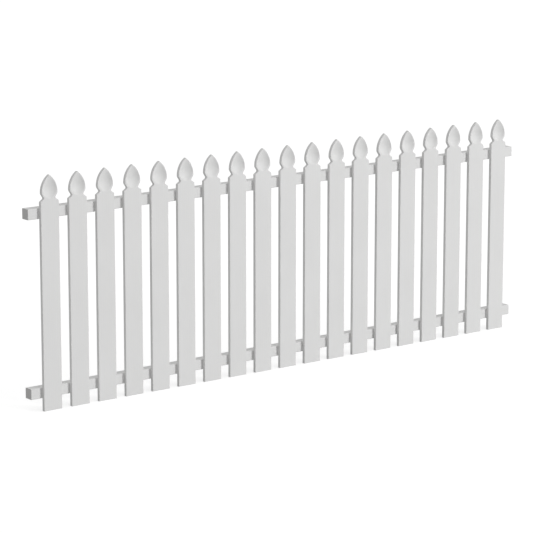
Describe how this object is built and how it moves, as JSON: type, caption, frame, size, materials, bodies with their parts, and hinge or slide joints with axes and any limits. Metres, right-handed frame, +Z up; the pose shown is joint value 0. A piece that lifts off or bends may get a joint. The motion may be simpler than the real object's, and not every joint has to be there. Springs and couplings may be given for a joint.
{
  "type": "picket fence panel",
  "caption": "White timber fence panel: flat pickets with dished French gothic heads, spaced along the fronts of two square rails that fasten between posts.",
  "frame": {"origin": "middle of the lower rail's left end face, as seen from the picket side", "axes": "+X along the rails to the right, +Y to the back, from the pickets to the rails, +Z up the pickets"},
  "size_m": [2.4384, 0.0553, 0.9144],
  "materials": {
    "picket_paint": "smooth white satin paint on planed softwood",
    "rail_paint": "smooth white satin paint on planed softwood"
  },
  "bodies": {
    "root": {"lower_rail": "rail_paint", "upper_rail": "rail_paint", "picket_01": "picket_paint", "picket_02": "picket_paint", "picket_03": "picket_paint", "picket_04": "picket_paint", "picket_05": "picket_paint", "picket_06": "picket_paint", "picket_07": "picket_paint", "picket_08": "picket_paint", "picket_09": "picket_paint", "picket_10": "picket_paint", "picket_11": "picket_paint", "picket_12": "picket_paint", "picket_13": "picket_paint", "picket_14": "picket_paint", "picket_15": "picket_paint", "picket_16": "picket_paint", "picket_17": "picket_paint", "picket_18": "picket_paint", "picket_19": "picket_paint"}
  },
  "joints": []
}
